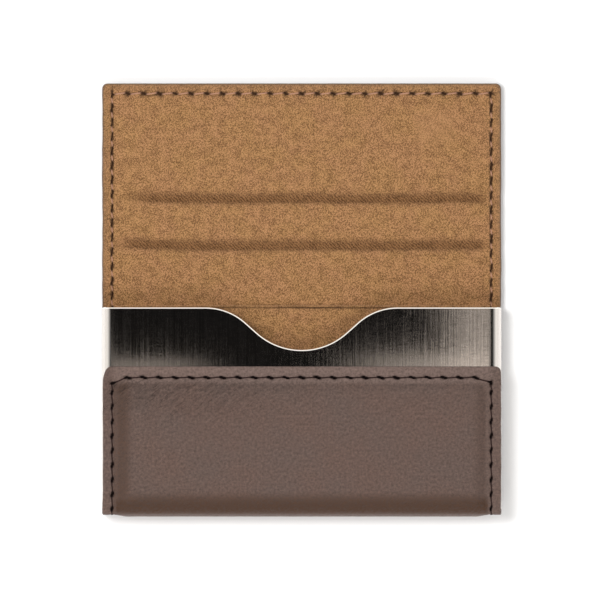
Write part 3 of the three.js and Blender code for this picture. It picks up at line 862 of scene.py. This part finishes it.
def lining_sheet(name, rows):
    """A stretch of the lining, with a painted edge."""
    x, run = cover_grid(rows)
    marks = hole_marks(x, run, *LINING_HOLES, ragged=LINING_HOLE_RAGGED)
    face = wrapped(wobbled(x, run), run, lining_face(x, run) + LINING_HOLE_DEPTH * marks)
    back = wrapped(wobbled(x, run), run, LINING + fold_sink(x, run))
    from_edge = edge_distance(x, run)
    shade = 0.16 * (1 - smooth(from_edge, 1, 2.2))
    attributes = {
        "flat": np.stack([x, run, x * 0], -1),
        "worn": fold_wear(x, run),
        "pressed": pressed_nap(x, run),
        "edge": np.exp(-((from_edge / 0.3) ** 2)) + shade,
        # painted shade in the stitch holes, which are also sunk
        "hole": marks,
    }
    return closed_sheet(name, face, back, [SUEDE_MATERIAL, EDGE_MATERIAL], attributes)


# ------------------------------------------------------------------ the tray


def notch_drop(x):
    """How far the tray's top edge drops into the thumb notch."""
    radii = NOTCH_SHOULDER + NOTCH_BOTTOM
    flank = (NOTCH_DEPTH - radii * (1 - math.cos(NOTCH_ANGLE))) / math.sin(NOTCH_ANGLE)
    half = radii * math.sin(NOTCH_ANGLE) + flank * math.cos(NOTCH_ANGLE)
    inner = NOTCH_BOTTOM * math.sin(NOTCH_ANGLE)
    outer = half - NOTCH_SHOULDER * math.sin(NOTCH_ANGLE)
    a = abs(x)
    bottom = NOTCH_DEPTH - NOTCH_BOTTOM + np.sqrt(NOTCH_BOTTOM**2 - np.minimum(a, inner) ** 2)
    away = np.clip(half - a, 0, half - outer)
    shoulder = NOTCH_SHOULDER - np.sqrt(NOTCH_SHOULDER**2 - away**2)
    at_inner = NOTCH_DEPTH - NOTCH_BOTTOM * (1 - math.cos(NOTCH_ANGLE))
    straight = at_inner - (a - inner) * math.tan(NOTCH_ANGLE)
    return np.where(a < inner, bottom, np.where(a < outer, straight, shoulder))


def tray_section(inset):
    """The tray's section, once round from the middle of its back, as an array of (x, z) at an
    inset from the outside."""
    half, low, high = HALF, TRAY_LOW.z, TRAY_HIGH.z
    points = []

    def arc(cx, cz, radius, start, count):
        for i in range(count + 1):
            angle = start + math.pi / 2 * i / count
            reach = radius - inset
            points.append((cx + reach * math.cos(angle), cz + reach * math.sin(angle)))

    def run_to(x0, z0, x1, z1, count):
        for i in range(1, count):
            points.append((x0 + (x1 - x0) * i / count, z0 + (z1 - z0) * i / count))

    back, front = BACK_BEND, FRONT_BEND
    run_to(-half + back, low + inset, half - back, low + inset, 60)
    arc(half - back, low + back, back, -math.pi / 2, 8)
    run_to(half - inset, low + back, half - inset, high - front, 6)
    arc(half - front, high - front, front, 0, 16)
    run_to(half - front, high - inset, -half + front, high - inset, 260)
    arc(-half + front, high - front, front, math.pi / 2, 16)
    run_to(-half + inset, high - front, -half + inset, low + back, 6)
    arc(-half + back, low + back, back, math.pi, 8)
    return np.array(points)


def build_tray():
    """The tray, in rings from the outside of its bottom up to its rim and down its inside."""
    outer, inner = tray_section(0), tray_section(STEEL)
    before, after = np.roll(outer, 1, axis=0), np.roll(outer, -1, axis=0)
    travel = np.hypot(*(after - before).T)
    along = (after - before) / travel[:, None]
    on_front = (outer[:, 1] > TRAY_HIGH.z - 0.01) & (abs(outer[:, 0]) < HALF - FRONT_BEND)
    drop = np.where(on_front, notch_drop(outer[:, 0]), 0)
    slope = np.where(on_front, (np.roll(drop, -1) - np.roll(drop, 1)) / travel, 0)
    length = np.hypot(1, slope)
    top = TRAY_HIGH.y - drop
    # The ground edge's lower line lies below the rim, square to it.
    shift = -along * (slope / length * GROUND)[:, None]
    ground_line = top - GROUND / length
    bottom = TRAY_LOW.y

    def ring(section, y):
        return np.stack([section[:, 0], np.broadcast_to(y, len(section)), section[:, 1]], -1)

    rings = [
        ring(outer + shift * t, bottom + (ground_line - bottom) * t)
        for t in np.linspace(0, 1, WALL_RINGS)
    ]
    rings.append(ring(outer + shift * 0.2 + (inner - outer) * GROUND_BEVEL, top - 0.1 / length))
    rings.append(ring(outer + (inner - outer) * 0.95, top))
    rings.append(ring(inner, top - 0.05))
    inside = bottom + STEEL
    rings += [ring(inner, inside + (top - inside) * t) for t in (0.6, 0.3, 0)]
    count = len(outer)
    index = np.arange(count)
    polished = range(WALL_RINGS - 1, WALL_RINGS + 2)  # the strips between rings round the rim
    faces, kinds = [], []
    for number in range(len(rings) - 1):
        a, b = number * count, (number + 1) * count
        quads = np.stack([a + index, a + np.roll(index, -1), b + np.roll(index, -1), b + index], -1)
        faces += quads.tolist()
        kinds += [int(number in polished)] * count
    faces.append(index.tolist())
    faces.append(((len(rings) - 1) * count + index[::-1]).tolist())
    kinds += [0, 0]
    points = np.concatenate(rings)
    materials = [STEEL_MATERIAL, POLISHED_MATERIAL]
    piece = mesh_object("tray_sheet", points, faces, materials, kinds, crease=20)
    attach(piece, "case")
    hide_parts("steel_tray")


def build_tray_lining():
    """The lining of the tray's back, turned down over the steel's rear edge. A shallow groove runs
    along it by the steel's rear edge, with painted shade along it."""
    low, high = span("tray_lining")
    corner = TRAY_HIGH.y + TURN_GAP  # where the turned stretch starts
    lip = TURN_RADIUS * math.pi / 2
    xs = grid_lines((low.x, high.x, 0.7))
    runs = grid_lines(
        (low.y, high.y - 12, 1.2), (high.y - 12, high.y - 1.2, 0.5), (high.y - 1.2, corner, 0.1),
        (corner, corner + lip, 0.12), (corner + lip, corner + lip + TURN_DROP, 0.15),
    )
    x, run = np.meshgrid(xs, runs)
    # A shallow groove near the top edge, with painted shade along it.
    line = high.y - 0.12 + 0.09 * ripple(x, x * 0, (41, 19, 8), 21)
    width = 0.24 + 0.06 * ripple(x, x * 0, (15, 7, 3.1), 8)
    shaded_groove = np.exp(-(((run - line) / width) ** 2))
    shaded_groove = shaded_groove * (0.66 + 0.3 * ripple(x, x * 0, (53, 24), 17))
    angle = np.clip((run - corner) / TURN_RADIUS, 0, math.pi / 2)
    fall = np.maximum(run - corner - lip, 0)
    side = np.clip(1 - np.minimum(x - low.x, high.x - x) / 0.3, 0, 1) ** 2
    level = high.z + 0.02 + 0.04 * ripple(x, run, (33, 21, 12), 9) - 0.2 * side - 0.14 * shaded_groove
    drop = TURN_RADIUS * (1 - np.cos(angle)) + fall
    y = np.minimum(run, corner)
    face = np.stack([x, y + TURN_RADIUS * np.sin(angle), level - drop], -1)
    back = np.stack([x, y + 0.02 * np.sin(angle), low.z - fall], -1)
    elsewhere = 40  # so that its nap isn't the same as the cover's
    attributes = {
        "flat": np.stack([x, run + elsewhere, x * 0], -1),
        "worn": x * 0,
        "pressed": x * 0,
        "edge": x * 0,
        # painted shade along the groove
        "hole": shaded_groove,
    }
    materials = [SUEDE_MATERIAL, SUEDE_MATERIAL]
    piece = closed_sheet("tray_lining_sheet", face, back, materials, attributes)
    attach(piece, "case")
    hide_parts("tray_lining")


# ------------------------------------------------------------------ building


def bend_over(piece, number):
    """Bakes the piece's place into its mesh. number is not used."""
    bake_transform(piece)


def cover_rows():
    """Grid rows of the leather round the case, of its lining, and of both on the flap."""
    rear, front = ((fold - FOLD_STRIP, fold + FOLD_STRIP, FOLD_STEP) for fold in FOLDS)
    to_middle = (rear[1], SPINE_MIDDLE, 0.4)
    leather = grid_lines(
        (FRONT_TOP, FRONT_TOP + EDGE_STRIP, EDGE_STEP),
        (FRONT_TOP + EDGE_STRIP, FRONT_SEAM - SEAM_STRIP, MARGIN_STEP),
        seam_strip(FRONT_SEAM),
        (FRONT_SEAM + SEAM_STRIP, FRONT_START - 5, 0.5),
        (FRONT_START - 5, TRAY_LOW.y + 5, 0.3),
        (TRAY_LOW.y + 5, rear[0], 0.7),
        rear, to_middle,
    )
    lining = grid_lines(
        (FRONT_TOP, FRONT_START, 1.5),
        (FRONT_START, TRAY_LOW.y, 0.4),
        (TRAY_LOW.y, TRAY_HIGH.y - 1, 1.5),
        (TRAY_HIGH.y - 1, rear[0], 0.4),
        rear, to_middle,
    )
    flap = grid_lines(
        (SPINE_MIDDLE, front[0], 0.4), front,
        (front[1], FLAP_SEAM - SEAM_STRIP, 0.5),
        seam_strip(FLAP_SEAM),
        (FLAP_SEAM + SEAM_STRIP, FREE_EDGE - EDGE_STRIP, MARGIN_STEP),
        (FREE_EDGE - EDGE_STRIP, FREE_EDGE, EDGE_STEP),
    )
    return leather, lining, flap


def on_case(run):
    return run < SPINE_MIDDLE


def on_flap(run):
    return run >= SPINE_MIDDLE


def needle(name, keep):
    return stitches(name, leather_outside, NEEDLE_STITCH, keep, NEEDLE_MATERIAL)


def bobbin(name, keep):
    return stitches(name, lining_face, BOBBIN_STITCH, keep, BOBBIN_MATERIAL)


def build_cover():
    """The cover's leather, lining and threads, each in two pieces that meet in the spine."""
    leather_rows, lining_rows, flap_rows = cover_rows()
    case_leather = leather_sheet("case_leather", leather_rows)
    flap_leather = leather_sheet("flap_leather_skin", flap_rows)
    case_lining = lining_sheet("case_lining", lining_rows)
    flap_lining = lining_sheet("flap_lining_skin", flap_rows)
    case_needle = needle("case_needle_stitches", on_case)
    flap_needle = needle("flap_needle_stitches", on_flap)
    case_bobbin = bobbin("case_bobbin_stitches", on_case)
    flap_bobbin = bobbin("flap_bobbin_stitches", on_flap)

    for number, pieces in enumerate((
        (case_leather, case_lining, case_needle, case_bobbin),
        (flap_leather, flap_lining, flap_needle, flap_bobbin),
    )):
        for piece, slot in zip(pieces, ("leather", "suede", "thread", "thread")):
            bend_over(piece, number)
    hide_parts("cover_leather", "rear_fold_leather", "spine_leather")
    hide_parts("flap_leather", "front_fold_leather")
    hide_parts("cover_lining", "rear_fold_lining", "spine_lining")
    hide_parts("flap_lining", "front_fold_lining")
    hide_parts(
        "cover_needle_thread", "spine_needle_thread_left", "spine_needle_thread_right"
    )
    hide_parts("flap_needle_thread")
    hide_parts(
        "cover_bobbin_thread", "spine_bobbin_thread_left", "spine_bobbin_thread_right"
    )
    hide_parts("flap_bobbin_thread")


def finish_inside():
    """Materials for the CAD nodes inside the cover."""
    kinds = {
        "board": hidden_material("board", BOARD_GREY, 0.9, 900),
        "foam": hidden_material("foam", FOAM_DARK, 1.0, 2500),
        "magnet": hidden_material("magnet", NICKEL, 0.25, 300, 1.0),
    }
    for name, node in frame["nodes"].items():
        for kind, material in kinds.items():
            if kind in name:
                node.data.materials.clear()
                node.data.materials.append(material)


def add_floor():
    """A pale floor, just under the case so that the two don't share a plane."""
    half, gap = 2.0, 0.00003
    corners = [(-half, -half, 0), (half, -half, 0), (half, half, 0), (-half, half, 0)]
    mesh = bpy.data.meshes.new("floor")
    mesh.from_pydata(corners, [], [(0, 1, 2, 3)])
    material, shader = new_material(
        "paper_floor", Roughness=0.9, Specular_IOR_Level=0.1, Base_Color=grey(0.96),
        Emission_Color=grey(1), Emission_Strength=0.06,
    )
    mesh.materials.append(material)
    floor = bpy.data.objects.new("floor", mesh)
    floor.location.z = -gap
    bpy.context.scene.collection.objects.link(floor)
    floor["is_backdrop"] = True


def add_softbox(name, place, aim, size, power, tint=(1, 1, 1), mirrored=True):
    """A rectangular light. One that isn't mirrored doesn't show as a reflection in the steel."""
    light = bpy.data.lights.new(name, "AREA")
    light.shape = "RECTANGLE"
    light.size, light.size_y = size
    light.energy = power
    light.color = tint
    softbox = bpy.data.objects.new(name, light)
    softbox.location = place
    softbox.rotation_euler = (Vector(aim) - Vector(place)).to_track_quat("-Z", "Y").to_euler()
    softbox.visible_camera = False
    softbox.visible_glossy = mirrored
    bpy.context.scene.collection.objects.link(softbox)


def add_lights():
    """Two soft lights, and dim panels above the tray for the steel to reflect."""
    middle = (0, 0, 0)
    add_softbox("key", (-0.23, 0.11, 0.80), middle, (0.27, 0.27), 4.8, mirrored=False)
    add_softbox("fill_front", (0.12, -0.44, 0.70), middle, (0.5, 0.3), 2.5, mirrored=False)
    for name, place, size, power in (
        ("panel_left", (-0.050, -0.058, 0.085), (0.050, 0.088), 0.0037),
        ("panel_right", (0.0325, -0.057, 0.12), (0.035, 0.088), 0.0040),
        ("panel_side", (0.0435, -0.015, 0.085), (0.0135, 0.090), 0.0018),
    ):
        add_softbox(name, place, (place[0], place[1], 0), size, power, PANEL_WARM)


def add_sky():
    """A sky that is dark overhead, with a bright ring low down and a strip up each side."""
    world = bpy.data.worlds.new("studio")
    bpy.context.scene.world = world
    world.use_nodes = True
    tree = world.node_tree
    way = add_node(tree, "TexCoord").outputs["Generated"]
    split = add_node(tree, "SeparateXYZ", {0: way})
    across, forward = (math_node(tree, "ABSOLUTE", split.outputs[axis]) for axis in (0, 1))
    ring = ranged(tree, split.outputs[2], 0.50, 0.60, 1.12, 0.008)
    height = math_node(tree, "MULTIPLY_ADD", across, 0.09, split.outputs[2])
    strips = ranged(tree, height, 0.62, 0.96, 1.15, 0.0)
    strips = math_node(tree, "MULTIPLY", strips, ranged(tree, forward, 0.2, 0.3, 1.0, 0.0))
    bright = math_node(tree, "MAXIMUM", ring, strips)
    background = tree.nodes["Background"]
    background.inputs["Color"].default_value = SKY_WARM
    tree.links.new(bright, background.inputs["Strength"])


def add_camera():
    """Straight above the open case, square to it."""
    camera = bpy.data.cameras.new("camera")
    camera.type = "ORTHO"
    camera.ortho_scale = 0.1427
    place = bpy.data.objects.new("camera", camera)
    place.location = (-0.0004, 0, 0.6)
    bpy.context.scene.collection.objects.link(place)
    bpy.context.scene.camera = place


bpy.context.scene.view_settings.view_transform = "Standard"
add_camera()
add_lights()
add_sky()
add_floor()
finish_inside()
build_cover()
build_tray()
build_tray_lining()

boxes = {"cad": CAD_BOX, "visual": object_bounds()}
{key: [list(corner) for corner in box] for key, box in boxes.items()}
